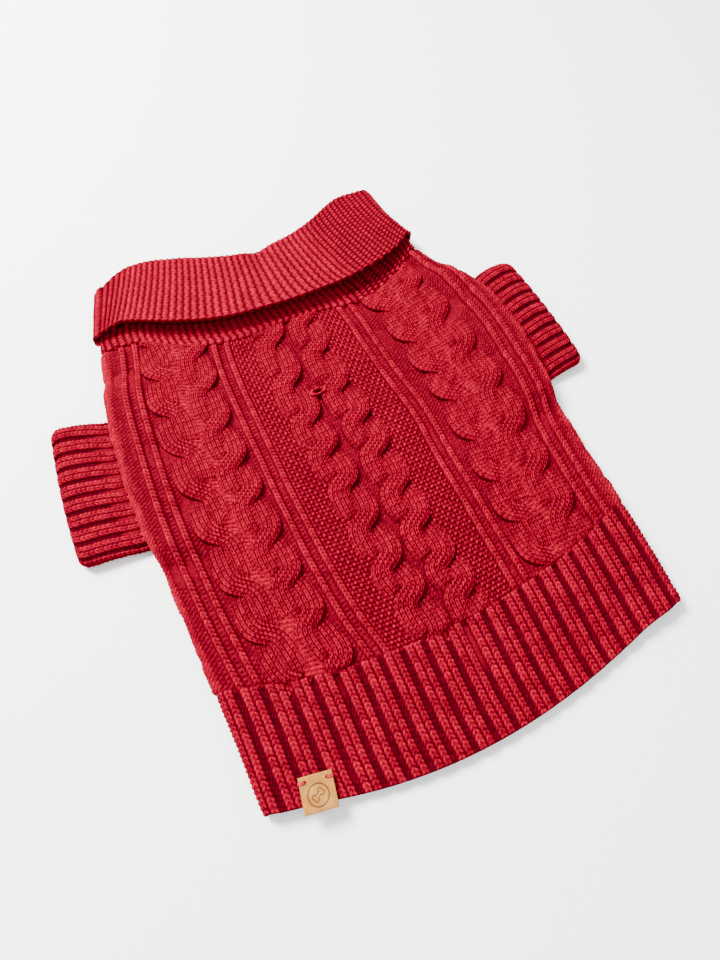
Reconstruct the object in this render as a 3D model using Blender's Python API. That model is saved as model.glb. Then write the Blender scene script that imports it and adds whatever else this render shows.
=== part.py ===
"""Cable-knit dog sweater, laid flat with its back up.

World frame in metres, +Z up: the sweater lies on Z = 0 with its neck towards +Y and its hem towards -Y.
Sizes below are in millimetres. "up" is the distance from the hem, where it is about 0, towards the neck.
"across" runs over one layer from -1 at the -X side fold to +1 at the +X side fold.
"turn" goes round a side fold, from 0 degrees on the top layer to 180 degrees on the bottom layer.
"""

import math
from collections import namedtuple

import bmesh
import bpy
from mathutils import Vector

MM = 0.001

# Cloth
KNIT_WALL = 3.2        # cabled back and ribbed hem, crest to wrong side
BELLY_WALL = 2.6       # plain belly panel
SLEEVE_WALL = 2.6      # ribbed sleeves
COLLAR_WALL = 3.0      # collar, knitted as one strip
SEAM = 0.3             # gap between pieces that are sewn together or lie on each other

# How the layers lie
LAYER_GAP = 0.4        # between the layers of the hem in the middle
FOLD_GAP = 3.2         # between the layers where the cloth turns at a side fold
WRAP_TO = 0.86         # the back turns under at each side as far as this share of the half width
SLEEVE_LIFT = 6.0      # the side folds ride over the flattened sleeves
SLEEVE_FROM, SLEEVE_TO = 158.0, 261.0
LIFT_RAMP = 20.0       # length of the slope on and off a sleeve
FLAT_HALF = 0.60       # the top layer is level inside this share of the half width

# Hem edge and seam of the hem rib: up in the middle, and how much further up their ends are
HEM_MIDDLE, HEM_RISE = -4.0, 19.0
RIB_MIDDLE, RIB_RISE = 52.0, 20.0

# Outline of the body and of the collar stand
Outline = namedtuple("Outline", "up half_width lean")
OUTLINE = (
    Outline(0, 117.5, -2.5),
    Outline(15, 118.5, -2.5),
    Outline(56, 121.0, -1.0),
    Outline(96, 122.0, -1.0),
    Outline(143, 124.0, -1.0),
    Outline(173, 128.0, 0.0),
    Outline(213, 130.5, 1.5),
    Outline(250, 126.5, 0.0),
    Outline(278, 117.5, -4.0),
    Outline(292, 113.0, -6.0),
    Outline(304, 109.5, -6.0),
    Outline(330, 102.5, -5.5),
    Outline(356, 101.0, -5.5),
)

# Lines of the neck across the back: seam of the stand, free edge of the fall, outermost line of the fold
NeckLine = namedtuple("NeckLine", "across seam free fold")
NECK = (
    NeckLine(-1.00, 302, 312, 348),
    NeckLine(-0.80, 301, 313, 354),
    NeckLine(-0.50, 284, 298, 348),
    NeckLine(-0.25, 277, 288, 339),
    NeckLine(0.00, 278, 285, 330),
    NeckLine(0.25, 276, 286, 332),
    NeckLine(0.50, 273, 289, 340),
    NeckLine(0.80, 284, 298, 359),
    NeckLine(1.00, 298, 308, 354),
)

# Heights of the collar's cloth, measured to the middle of the wall
STAND_TOP = 11.0       # top layer of the stand at the fold
FALL_DROP = 3.6        # from the stand to the fall underneath and at the sides
FALL_RISE = 8.5        # from the stand to the fall on top, where it springs up
FALL_RISE_END = 5.0    # the same at the side folds
EDGE_LIFT = 2.5        # the free edge stands up further
UNDER_SETBACK = 10.0   # the hidden fall ends this far past the stand's seam
PUCKER_AT, PUCKER_WIDTH, PUCKER_DEPTH = 0.08, 0.07, 3.0

# Sleeves: flattened tubes, by the share of the way from the armhole to the cuff
SleeveRing = namedtuple("SleeveRing", "share low high height")
SLEEVE = (
    SleeveRing(0.00, 160.0, 252.0, 5.6),
    SleeveRing(0.25, 160.5, 251.5, 5.6),
    SleeveRing(0.45, 161.5, 252.5, 5.8),
    SleeveRing(0.60, 163.0, 255.0, 7.4),
    SleeveRing(0.80, 164.5, 258.0, 8.6),
    SleeveRing(0.94, 165.5, 259.0, 8.6),
    SleeveRing(1.00, 168.5, 255.5, 8.0),
)
CUFF_OUT = {-1: 164.5, 1: 158.5}   # from the middle of the garment to each cuff's edge, at its hem end
CUFF_SLANT = 5.0                   # how much nearer the cuff's neck end is

# Leather label on the hem, its centre placed from the middle of the garment and along "up"
LABEL_SIDE = 16.2
LABEL_THICK = 1.6
LABEL_CORNER = 0.8
LABEL_CLEAR = 0.6      # over the ribs that it lies on
LABEL_ACROSS, LABEL_UP = -94.0, 12.0
LABEL_TURN = -10.6
LABEL_HOLE_R = 0.9
LABEL_HOLE_ACROSS, LABEL_HOLE_UP = 5.4, 5.5

# The origin is under the middle of the garment's box
ORIGIN_ACROSS, ORIGIN_UP = -3.0, 177.5

# Mesh fineness
BODY_ROWS = 20
HEM_ROWS = 4
FLAT_STEPS = 22
ARC_STEPS = 5
WRAP_STEPS = 2
BELLY_STEPS = 12
SLEEVE_STEPS = 8
FOLD_STEPS = 5
STAND_STEPS = 4
FALL_STEPS = 4


def smooth(value):
    """0 to 1 with level ends."""
    value = min(1.0, max(0.0, value))
    return value * value * (3 - 2 * value)


def mix(a, b, share):
    return a + (b - a) * share


def read(table, column, at):
    """A column of a table at a place between its rows, on a smooth curve through the rows."""
    keys = [row[0] for row in table]
    values = [getattr(row, column) for row in table]
    if at <= keys[0]:
        return values[0]
    if at >= keys[-1]:
        return values[-1]
    last = len(keys) - 1
    i = max(k for k in range(last) if keys[k] <= at)

    def slope(k):
        before, after = max(k - 1, 0), min(k + 1, last)
        return (values[after] - values[before]) / (keys[after] - keys[before])

    width = keys[i + 1] - keys[i]
    t = (at - keys[i]) / width
    return (
        (2 * t**3 - 3 * t**2 + 1) * values[i]
        + (t**3 - 2 * t**2 + t) * width * slope(i)
        + (3 * t**2 - 2 * t**3) * values[i + 1]
        + (t**3 - t**2) * width * slope(i + 1)
    )


def hem_line(across):
    return HEM_MIDDLE + HEM_RISE * across * across


def rib_line(across):
    return RIB_MIDDLE + RIB_RISE * across * across


def neck_line(across):
    return read(NECK, "seam", across)


def body_up(across, share):
    """From the hem rib's seam, share 0, to the collar's seam, share 1."""
    return mix(rib_line(across) + SEAM / 2, neck_line(across) - SEAM / 2, share)


def side_base(up):
    """Height of the underside of a side fold: on the floor, or on a sleeve."""
    on = smooth((up - SLEEVE_FROM + LIFT_RAMP) / LIFT_RAMP)
    off = smooth((up - SLEEVE_TO) / LIFT_RAMP)
    return SLEEVE_LIFT * on * (1 - off)


def top_height(up, across):
    """Height of the outside of the top layer."""
    middle = 2 * KNIT_WALL + LAYER_GAP
    side = side_base(up) + 2 * KNIT_WALL + FOLD_GAP
    return mix(middle, side, smooth((abs(across) - FLAT_HALF) / (1 - FLAT_HALF)))


def world(x, up, z):
    return Vector((x - ORIGIN_ACROSS, up - ORIGIN_UP, z)) * MM


def tube_point(up, across, turn, depth):
    """A point of the flattened body tube, depth below its outside."""
    half_width = read(OUTLINE, "half_width", up)
    lean = read(OUTLINE, "lean", up)
    side_top, side_low = top_height(up, 1.0), side_base(up)
    radius = (side_top - side_low) / 2
    x = lean + across * (half_width - radius)
    if turn == 0:
        return world(x, up, top_height(up, across) - depth)
    if turn == 180:
        return world(x, up, side_low + depth)
    angle = math.radians(turn)
    reach = radius - depth
    x += math.copysign(reach * math.sin(angle), across)
    return world(x, up, (side_top + side_low) / 2 + reach * math.cos(angle))


def wrap_edge(up, side):
    """Where the turned-under strip of one side ends, and the belly panel or the sleeve begins."""
    radius = (top_height(up, 1.0) - side_base(up)) / 2
    return read(OUTLINE, "lean", up) + side * WRAP_TO * (read(OUTLINE, "half_width", up) - radius)


def steps(start, end, count):
    """count + 1 places from start to end."""
    return [mix(start, end, k / count) for k in range(count + 1)]


def over_the_back():
    """Stations from under the -X side fold, over the top layer, to under the +X side fold."""
    left = [(-1.0, turn) for turn in steps(180, 0, ARC_STEPS)]
    flat = [(across, 0) for across in steps(-1.0, 1.0, FLAT_STEPS)[1:-1]]
    right = [(1.0, turn) for turn in steps(0, 180, ARC_STEPS)]
    return left + flat + right


def turned_under(side):
    """Stations of one turned-under strip, inward from its side fold."""
    return [(side * across, 180) for across in steps(1.0, WRAP_TO, WRAP_STEPS)[1:]]


def under_the_belly():
    """Stations of the whole bottom layer, from the +X side fold back to the -X one."""
    belly = [(across, 180) for across in steps(WRAP_TO, -WRAP_TO, BELLY_STEPS)[1:-1]]
    return turned_under(1) + belly + turned_under(-1)[::-1]


def plain_material(name, colour, roughness):
    material = bpy.data.materials.new(name)
    material.use_nodes = True
    shader = material.node_tree.nodes["Principled BSDF"]
    shader.inputs["Base Color"].default_value = (*colour, 1.0)
    shader.inputs["Roughness"].default_value = roughness
    shader.inputs["Metallic"].default_value = 0.0
    return material


def add_object(name, material, mesh_builder):
    """Makes one named object from a function that fills a bmesh."""
    shape = bmesh.new()
    mesh_builder(shape)
    bmesh.ops.recalc_face_normals(shape, faces=shape.faces)
    mesh = bpy.data.meshes.new(name)
    shape.to_mesh(mesh)
    shape.free()
    mesh.materials.append(material)
    mesh.shade_smooth()
    mesh.set_sharp_from_angle(angle=math.radians(40))
    piece = bpy.data.objects.new(name, mesh)
    bpy.context.scene.collection.objects.link(piece)
    return piece


def add_wall(shape, outside, inside, closed):
    """A cloth wall between two grids of points; closed joins the last column to the first."""
    skins = [[[shape.verts.new(p) for p in row] for row in grid] for grid in (outside, inside)]
    rows, columns = len(outside), len(outside[0])
    spans = columns if closed else columns - 1
    for skin in skins:
        for i in range(rows - 1):
            for j in range(spans):
                k = (j + 1) % columns
                shape.faces.new((skin[i][j], skin[i][k], skin[i + 1][k], skin[i + 1][j]))
    outer, inner = skins
    for i in (0, rows - 1):
        for j in range(spans):
            k = (j + 1) % columns
            shape.faces.new((outer[i][j], outer[i][k], inner[i][k], inner[i][j]))
    if not closed:
        for j in (0, columns - 1):
            for i in range(rows - 1):
                shape.faces.new((outer[i][j], outer[i + 1][j], inner[i + 1][j], inner[i][j]))


def build_back(shape):
    """Cabled back: the top layer, both side folds and the turned-under strips."""
    stations = turned_under(-1)[::-1] + over_the_back() + turned_under(1)

    def grid(depth):
        return [
            [tube_point(body_up(across, share), across, turn, depth) for across, turn in stations]
            for share in steps(0.0, 1.0, BODY_ROWS)
        ]

    add_wall(shape, grid(0.0), grid(KNIT_WALL), closed=False)


def build_belly(shape):
    """Plain belly panel on the floor, between the turned-under strips."""

    def belly_point(across, share, height):
        up = body_up(across, share)
        left, right = wrap_edge(up, -1) + SEAM, wrap_edge(up, 1) - SEAM
        return world(mix(left, right, (across / WRAP_TO + 1) / 2), up, height)

    def grid(height):
        return [
            [belly_point(across, share, height) for across in steps(-WRAP_TO, WRAP_TO, BELLY_STEPS)]
            for share in steps(0.0, 1.0, BODY_ROWS)
        ]

    add_wall(shape, grid(0.0), grid(BELLY_WALL), closed=False)


def build_hem(shape):
    """Ribbed hem, a flattened tube all round."""
    stations = over_the_back() + under_the_belly()

    def grid(depth):
        rows = []
        for share in steps(0.0, 1.0, HEM_ROWS):
            rows.append([
                tube_point(mix(hem_line(across), rib_line(across) - SEAM / 2, share), across, turn, depth)
                for across, turn in stations
            ])
        return rows

    add_wall(shape, grid(0.0), grid(KNIT_WALL), closed=True)


def sleeve_ring(ring, side, depth):
    """One ring of a flattened sleeve, round from the top layer to the bottom layer."""
    radius = ring.height / 2
    lower = [(ring.low + radius, turn, -1) for turn in steps(180, 0, ARC_STEPS)]
    upper = [(ring.high - radius, turn, 1) for turn in steps(0, 180, ARC_STEPS)]
    top = [(up, 0, 1) for up in steps(lower[0][0], upper[0][0], SLEEVE_STEPS)[1:-1]]
    bottom = [(up, 180, 1) for up, _, _ in reversed(top)]
    points = []
    for up, turn, way in lower + top + upper + bottom:
        angle = math.radians(turn)
        reach = radius - depth
        place = up + way * reach * math.sin(angle)
        armhole = wrap_edge(place, side) + side * SEAM / 2
        cuff = side * (CUFF_OUT[side] - CUFF_SLANT * (place - ring.low) / (ring.high - ring.low))
        points.append(world(mix(armhole, cuff, ring.share), place, radius + reach * math.cos(angle)))
    return points


def build_sleeve(side):
    def build(shape):
        outside = [sleeve_ring(ring, side, 0.0) for ring in SLEEVE]
        inside = [sleeve_ring(ring, side, SLEEVE_WALL) for ring in SLEEVE]
        add_wall(shape, outside, inside, closed=True)

    return build


def fall_rise(across, turn):
    """Distance from the stand to the fall: springy on top, close at the sides and underneath."""
    on_top = mix(FALL_RISE, FALL_RISE_END, smooth((abs(across) - 0.6) / 0.4))
    return mix(FALL_DROP, on_top, smooth(1 - turn / 120))


def collar_path(across, turn):
    """Middle of the collar's cloth from its seam, over the fold, to its free edge: (up, outward) points."""
    rise = fall_rise(across, turn)
    radius = rise / 2
    seam = neck_line(across) + SEAM / 2
    crest = read(NECK, "fold", across) - radius - COLLAR_WALL / 2
    turned = smooth(turn / 90)
    free = read(NECK, "free", across)
    free = mix(free, max(free, seam + UNDER_SETBACK), turned)
    on_top = (1 - turned) * smooth((1 - abs(across)) / 0.3)
    path = [(up, 0.0) for up in steps(seam, crest, STAND_STEPS)]
    for degrees in steps(-90, 90, FOLD_STEPS)[1:-1]:
        angle = math.radians(degrees)
        path.append((crest + radius * math.cos(angle), radius + radius * math.sin(angle)))
    for share in steps(0.0, 1.0, FALL_STEPS):
        path.append((mix(crest, free, share), rise + EDGE_LIFT * on_top * share * share))
    return path


def collar_section(across, turn):
    """Closed outline of the collar's cloth as (up, outward) points."""
    path = collar_path(across, turn)
    left, right = [], []
    for k, (up, outward) in enumerate(path):
        before, after = path[max(k - 1, 0)], path[min(k + 1, len(path) - 1)]
        along = Vector((after[0] - before[0], after[1] - before[1])).normalized()
        half = COLLAR_WALL / 2
        left.append((up - along.y * half, outward + along.x * half))
        right.append((up + along.y * half, outward - along.x * half))
    return left + right[::-1]


def collar_point(across, turn, up, outward):
    """Puts a point of the collar's section in place round the flattened neck."""
    seam = neck_line(across)
    climb = smooth((up - seam) / (read(NECK, "fold", across) - seam))
    off_floor = smooth((up - seam) / (0.8 * UNDER_SETBACK))
    low = COLLAR_WALL / 2 + FALL_DROP * off_floor
    side_high = mix(top_height(seam, 1.0) - COLLAR_WALL / 2, STAND_TOP, climb)
    high = mix(top_height(seam, across) - COLLAR_WALL / 2, STAND_TOP, climb)
    radius = (side_high - low) / 2
    x = read(OUTLINE, "lean", up) + across * (read(OUTLINE, "half_width", up) - COLLAR_WALL / 2 - radius)
    pucker = PUCKER_DEPTH * math.exp(-(((across - PUCKER_AT) / PUCKER_WIDTH) ** 2))
    if turn == 0:
        return world(x, up, high + outward * (1 - pucker / FALL_RISE * climb))
    if turn == 180:
        return world(x, up, low - outward)
    angle = math.radians(turn)
    reach = radius + outward
    x += math.copysign(reach * math.sin(angle), across)
    return world(x, up, (side_high + low) / 2 + reach * math.cos(angle))


def build_collar(shape):
    """Turned-down collar: a strip knitted in one, from the neck seam up, over the fold and down."""
    rings = []
    for across, turn in over_the_back() + under_the_belly():
        rings.append([
            shape.verts.new(collar_point(across, turn, up, outward))
            for up, outward in collar_section(across, turn)
        ])
    count = len(rings[0])
    for ring, following in zip(rings, rings[1:] + rings[:1]):
        for i in range(count):
            j = (i + 1) % count
            shape.faces.new((ring[i], ring[j], following[j], following[i]))


def add_label(material):
    """Square leather label with two stitch holes, lying on the hem and a little over its edge."""

    def plate(shape):
        bmesh.ops.create_cube(shape, size=1.0)
        bmesh.ops.scale(shape, vec=Vector((LABEL_SIDE, LABEL_SIDE, LABEL_THICK)) * MM, verts=shape.verts)
        upright = [e for e in shape.edges if abs(e.verts[0].co.z - e.verts[1].co.z) > LABEL_THICK * MM / 2]
        corner = LABEL_CORNER * MM
        bmesh.ops.bevel(shape, geom=upright, offset=corner, segments=3, profile=0.5, affect="EDGES")

    label = add_object("label", material, plate)
    half_width = read(OUTLINE, "half_width", LABEL_UP)
    lean = read(OUTLINE, "lean", LABEL_UP)
    ends = [LABEL_ACROSS + side * LABEL_SIDE / 2 for side in (-1, 1)]
    left, right = [top_height(LABEL_UP, (end - lean) / half_width) for end in ends]
    label.location = world(LABEL_ACROSS, LABEL_UP, (left + right) / 2 + LABEL_CLEAR + LABEL_THICK / 2)
    label.rotation_euler = (0, math.atan2(left - right, LABEL_SIDE), math.radians(LABEL_TURN))
    for side in (-1, 1):
        hole, through = LABEL_HOLE_R * MM, 3 * LABEL_THICK * MM
        bpy.ops.mesh.primitive_cylinder_add(vertices=16, radius=hole, depth=through)
        punch = bpy.context.object
        punch.name = "label_punch"
        punch.parent = label
        punch.location = Vector((side * LABEL_HOLE_ACROSS, LABEL_HOLE_UP, 0)) * MM
        punch.hide_render = True
        punch.display_type = "WIRE"
        cut = label.modifiers.new("stitch_hole", "BOOLEAN")
        cut.operation = "DIFFERENCE"
        cut.object = punch
    return label


def main():
    for old in list(bpy.data.objects):
        bpy.data.objects.remove(old)
    wool = plain_material("red_wool", (0.42, 0.012, 0.028), 0.9)
    leather = plain_material("tan_leather", (0.62, 0.40, 0.16), 0.5)
    add_object("back_panel", wool, build_back)
    add_object("belly_panel", wool, build_belly)
    add_object("hem_rib", wool, build_hem)
    add_object("sleeve_left", wool, build_sleeve(-1))
    add_object("sleeve_right", wool, build_sleeve(1))
    add_object("collar", wool, build_collar)
    add_label(leather)


main()
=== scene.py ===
# %% [markdown]
# A small dog's sweater, knitted in thick red wool and laid flat with its back up. The fixed frame holds
# plain solids for its seven sewn pieces. This lesson knits a cloth skin over each one: the stitches are
# real geometry, laid out wale by wale and row by row, as they sit on the knitting machine.

# %% Load the fixed frame
import math

import bmesh
import bpy
import numpy as np
from mathutils import Matrix, Vector


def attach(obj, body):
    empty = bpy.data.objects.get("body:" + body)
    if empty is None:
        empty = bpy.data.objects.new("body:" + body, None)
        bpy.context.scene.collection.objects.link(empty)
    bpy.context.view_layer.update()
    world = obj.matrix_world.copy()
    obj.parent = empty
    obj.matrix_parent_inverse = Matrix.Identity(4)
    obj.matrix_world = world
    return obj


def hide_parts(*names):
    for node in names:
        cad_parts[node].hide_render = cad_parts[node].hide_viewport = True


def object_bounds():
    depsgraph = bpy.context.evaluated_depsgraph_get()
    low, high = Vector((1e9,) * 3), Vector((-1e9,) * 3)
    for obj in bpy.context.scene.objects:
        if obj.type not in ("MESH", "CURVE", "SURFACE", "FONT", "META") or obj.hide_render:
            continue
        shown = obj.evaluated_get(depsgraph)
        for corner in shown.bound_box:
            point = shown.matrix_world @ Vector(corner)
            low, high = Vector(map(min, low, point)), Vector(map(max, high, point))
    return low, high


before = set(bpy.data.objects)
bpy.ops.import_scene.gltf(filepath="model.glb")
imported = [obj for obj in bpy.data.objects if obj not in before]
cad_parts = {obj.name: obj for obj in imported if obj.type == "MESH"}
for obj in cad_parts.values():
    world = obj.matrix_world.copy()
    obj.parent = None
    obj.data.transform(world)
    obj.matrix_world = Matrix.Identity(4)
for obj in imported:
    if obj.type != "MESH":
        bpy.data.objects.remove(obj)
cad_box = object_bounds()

MM = 0.001
low, high = cad_box
print("frame, mm:", [round(v / MM, 1) for v in (*low, *high)])


def add_object(name, data):
    made = bpy.data.objects.new(name, data)
    bpy.context.scene.collection.objects.link(made)
    return made


# %% [markdown]
# The camera looks down on the sweater from the hem's side, turned to its left. It is placed by its
# distance, its height angle and its turn from a point on the floor, so each can be tuned alone.

# %% Camera
CAMERA_LENS = 24.0
CAMERA_FAR = 0.37647
CAMERA_RISE = math.radians(63.6)
CAMERA_TURN = math.radians(-25.41)
LOOKED_AT = Vector((-0.00276, -0.0245, 0.0))


def add_camera():
    camera = add_object("camera", bpy.data.cameras.new("camera"))
    camera.data.lens = CAMERA_LENS
    camera.data.clip_start = 0.01
    level = math.cos(CAMERA_RISE)
    away = Vector((math.sin(CAMERA_TURN) * level, -math.cos(CAMERA_TURN) * level, math.sin(CAMERA_RISE)))
    camera.location = LOOKED_AT + away * CAMERA_FAR
    camera.rotation_euler = away.to_track_quat("Z", "Y").to_euler()
    bpy.context.scene.camera = camera


add_camera()


# %% [markdown]
# Materials need two small helpers: one turns the hex colours of a paint chart into linear light, the other
# adds a shader node with its settings and links in one call. Everything else is said where it is used.

# %% Colour and node helpers
def linear(hex_colour):
    """sRGB hex, such as "C40E30", to linear RGBA."""
    parts = [int(hex_colour[i:i + 2], 16) / 255 for i in (0, 2, 4)]
    return tuple(c / 12.92 if c <= 0.04045 else ((c + 0.055) / 1.055) ** 2.4 for c in parts) + (1.0,)


def add_node(material, kind, links=None, values=None, **settings):
    """One shader node. links: socket -> output socket; values: socket -> value; settings: attributes."""
    tree = material.node_tree
    made = tree.nodes.new(kind)
    for name, value in settings.items():
        setattr(made, name, value)
    for socket, value in (values or {}).items():
        made.inputs[socket].default_value = value
    for socket, source in (links or {}).items():
        tree.links.new(source, made.inputs[socket])
    return made


def set_stops(ramp, *stops):
    """Place and colour of each stop of a colour ramp."""
    for element, (position, colour) in zip(ramp.color_ramp.elements, stops):
        element.position, element.color = position, colour


def new_material(name):
    material = bpy.data.materials.new(name)
    material.use_nodes = True
    return material, material.node_tree.nodes["Principled BSDF"]


# %% [markdown]
# The floor is a plain white sheet, and the light is a big soft window above it on the upper left, with a
# weaker one across and a pale room light, so the stitches get soft shadows on one side and the cloth casts
# a faint one.

# %% Floor and lights
def add_floor():
    bpy.ops.mesh.primitive_plane_add(size=4.0, location=(0, 0, 0))
    floor = bpy.context.object
    floor.name = "floor"
    paper, shader = new_material("white_paper")
    shader.inputs["Base Color"].default_value = linear("FFFFFF")
    shader.inputs["Roughness"].default_value = 0.9
    floor.data.materials.append(paper)


def add_window(name, place, size, watts, tint):
    """A rectangular light that faces the middle of the sweater."""
    light = add_object(name, bpy.data.lights.new(name, "AREA"))
    light.data.shape = "RECTANGLE"
    light.data.size, light.data.size_y = size
    light.data.energy = watts
    light.data.color = linear(tint)[:3]
    light.location = place
    light.rotation_euler = Vector(place).to_track_quat("Z", "Y").to_euler()


add_floor()
add_window("window_light", (-0.5, 0.78, 1.0), (0.55, 0.55), 102.0, "FFFDFA")
add_window("fill_light", (0.5, -0.9, 1.2), (1.2, 1.2), 12.0, "FFFFFF")
world = bpy.data.worlds.new("room")
bpy.context.scene.world = world
world.use_nodes = True
world.node_tree.nodes["Background"].inputs["Color"].default_value = linear("FFFFFF")
world.node_tree.nodes["Background"].inputs["Strength"].default_value = 1.3

# %% [markdown]
# The sweater's form comes first. It is the same as in the plain solids: a flattened tube, described by the
# distance from the hem ("up"), the place across one layer, and the depth under the outside. Written for
# whole arrays of points, these few functions put any stitch of any piece in its place. Sizes are in
# millimetres.

# %% Sizes of the garment
KNIT_WALL, BELLY_WALL, SLEEVE_WALL, COLLAR_WALL = 3.2, 2.6, 2.6, 3.0
SEAM, LAYER_GAP, FOLD_GAP = 0.3, 0.4, 3.2
WRAP_TO, FLAT_HALF = 0.86, 0.60
SLEEVE_LIFT, SLEEVE_FROM, SLEEVE_TO, LIFT_RAMP = 6.0, 158.0, 261.0, 20.0
HEM_MIDDLE, HEM_RISE, RIB_MIDDLE, RIB_RISE, CORNER_DROP, HEM_SLANT = -5.0, 20.5, 52.0, 20.0, 3.5, 2.6
CORNER_FROM, CORNER_SPAN = 0.8, 0.2       # the hem turns down towards its corners from here
CORNER_ROUND = 1.2                        # and the very corners are rounded off
ROUND_FROM, ROUND_SPAN = 0.9, 0.1
ORIGIN_ACROSS, ORIGIN_UP = -3.0, 177.5

OUTLINE_UP = (0, 15, 56, 96, 143, 173, 213, 250, 278, 292, 304, 330, 356)
HALF_WIDTH = (118.5, 119.5, 122, 124, 126, 129.5, 131.5, 127.5, 119, 115, 112, 104.6, 99)
LEAN = (-2.5, -2.5, -1, -1, -1, 0, 1.5, 0, -4, -6, -6.5, -6.4, -3.8)

NECK_ACROSS = (-1, -0.93, -0.8, -0.5, -0.25, 0, 0.25, 0.5, 0.8, 1)
NECK_SEAM = (302, 301.8, 301, 284, 277, 278, 276, 273, 284, 298)
NECK_FREE = (312, 313, 314, 300.5, 290, 285.5, 284.5, 286.5, 295.5, 307)
NECK_FOLD = (349, 354.5, 357.5, 350.5, 341.5, 334.5, 335.5, 343, 357.5, 358.5)


# %% Smooth steps and curves
def smooth(value):
    value = np.clip(value, 0.0, 1.0)
    return value * value * (3 - 2 * value)


def mix(a, b, share):
    return a + (b - a) * share


def read(keys, values, at):
    """A smooth curve through the points (keys, values), read at any array of places."""
    keys, values = np.array(keys, float), np.array(values, float)
    slopes = np.gradient(values, keys)
    slopes[1:-1] = (values[2:] - values[:-2]) / (keys[2:] - keys[:-2])
    at = np.clip(at, keys[0], keys[-1])
    i = np.clip(np.searchsorted(keys, at, side="right") - 1, 0, len(keys) - 2)
    width = keys[i + 1] - keys[i]
    t = (at - keys[i]) / width
    return (
        (2 * t**3 - 3 * t**2 + 1) * values[i]
        + (t**3 - 2 * t**2 + t) * width * slopes[i]
        + (3 * t**2 - 2 * t**3) * values[i + 1]
        + (t**3 - t**2) * width * slopes[i + 1]
    )


# %% Lines of the outline, and heights of the layers
def half_width(up):
    return read(OUTLINE_UP, HALF_WIDTH, up)


def lean(up):
    return read(OUTLINE_UP, LEAN, up)


def hem_line(across):
    corner = CORNER_DROP * np.clip((np.abs(across) - CORNER_FROM) / CORNER_SPAN, 0, 1) ** 1.5
    corner = corner - CORNER_ROUND * np.clip((np.abs(across) - ROUND_FROM) / ROUND_SPAN, 0, 1) ** 3
    return HEM_MIDDLE + HEM_RISE * across * across - corner + HEM_SLANT * across * (1 - across * across)


def rib_line(across):
    return RIB_MIDDLE + RIB_RISE * across * across


def neck_line(across):
    return read(NECK_ACROSS, NECK_SEAM, across)


def body_up(across, share):
    return mix(rib_line(across) + SEAM / 2, neck_line(across) - SEAM / 2, share)


def side_base(up):
    on = smooth((up - SLEEVE_FROM + LIFT_RAMP) / LIFT_RAMP)
    off = smooth((up - SLEEVE_TO) / LIFT_RAMP)
    return SLEEVE_LIFT * on * (1 - off)


def top_height(up, across):
    middle = 2 * KNIT_WALL + LAYER_GAP
    side = side_base(up) + 2 * KNIT_WALL + FOLD_GAP
    return mix(middle, side, smooth((np.abs(across) - FLAT_HALF) / (1 - FLAT_HALF)))


def fold_radius(up):
    return (top_height(up, 1.0) - side_base(up)) / 2


def flat_half(up):
    """Half width of the flat part of a layer, where the side folds begin."""
    return half_width(up) - fold_radius(up)


def across_at(x, up):
    """Place across the layer, -1 to 1 between the side folds."""
    return (x - lean(up)) / flat_half(up)


def place(x, up, z):
    """Millimetres on the garment to metres in the frame; nothing goes under the table it lies on."""
    return np.stack([x - ORIGIN_ACROSS, up - ORIGIN_UP, np.maximum(z, 0)], axis=-1) * MM


# %% [markdown]
# Cloth that was worn or folded keeps soft troughs and ridges. They start at the armholes, the neck and the
# rib, where the cloth is held, and each has its own length, width and depth. The underside has a few too,
# shallow and only upward, since it lies on the floor.

# %% Creases
# place across, up, direction in degrees, length, width, height (a trough is negative)
CREASES = (
    (-100, 212, -18, 50, 10, -1.5), (-104, 172, 22, 40, 9, -1.2), (-88, 192, 5, 34, 8, 0.9),
    (103, 236, 205, 46, 10, -1.4), (106, 192, 160, 38, 8, -1.1), (92, 216, 182, 30, 9, 0.8),
    (-34, 264, 10, 58, 12, -1.2), (36, 256, -14, 50, 13, 0.9), (-68, 284, 40, 30, 9, 1.0),
    (22, 150, 12, 76, 18, -0.9), (-52, 112, -16, 60, 15, 0.9), (64, 96, 24, 52, 13, -1.0),
    (-88, 72, 68, 34, 10, -0.9), (8, 40, 80, 44, 13, -0.9), (72, 44, 66, 38, 10, 0.8),
    (-60, 30, 98, 34, 11, -0.8),
)
UNDER_CREASES = ((-60, 150, 30, 70, 14, 0.6), (50, 220, -25, 60, 12, 0.5), (10, 90, 10, 80, 16, 0.5))


def crease_height(x, up, creases=CREASES):
    """Sum of the creases at a place: each is long one way, narrow the other, and fades at its ends."""
    total = np.zeros(np.broadcast(x, up).shape)
    for cx, cup, turn, length, width, height in creases:
        along = (x - cx) * math.cos(math.radians(turn)) + (up - cup) * math.sin(math.radians(turn))
        beside = (up - cup) * math.cos(math.radians(turn)) - (x - cx) * math.sin(math.radians(turn))
        beside = beside - 0.004 * along**2
        total = total + height * np.exp(-((along / length * 1.6) ** 2) - (beside / width * 1.6) ** 2)
    return total


# %% Points of the flattened tube
def tube_point(up, girth, depth):
    """A point of the flattened tube: girth runs round it from the middle of the top layer, in millimetres."""
    radius, flat = fold_radius(up), flat_half(up)
    side, far = np.sign(girth), np.abs(girth)
    angle = np.clip((far - flat) / radius, 0, math.pi)
    under = np.maximum(far - flat - math.pi * radius, 0)
    reach = radius - depth
    out = np.minimum(far, flat) + reach * np.sin(angle) - under
    over = top_height(up, far / flat) - depth
    turned = side_base(up) + radius + reach * np.cos(angle)
    x = lean(up) + side * out
    creased = np.clip((flat - far) / 6, 0, 1) * crease_height(x, up)
    lifted = np.clip((far - flat - math.pi * radius) / 6, 0, 1) * crease_height(x, up, UNDER_CREASES)
    return place(x, up, np.where(far <= flat, over, turned) + creased + lifted)


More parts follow.
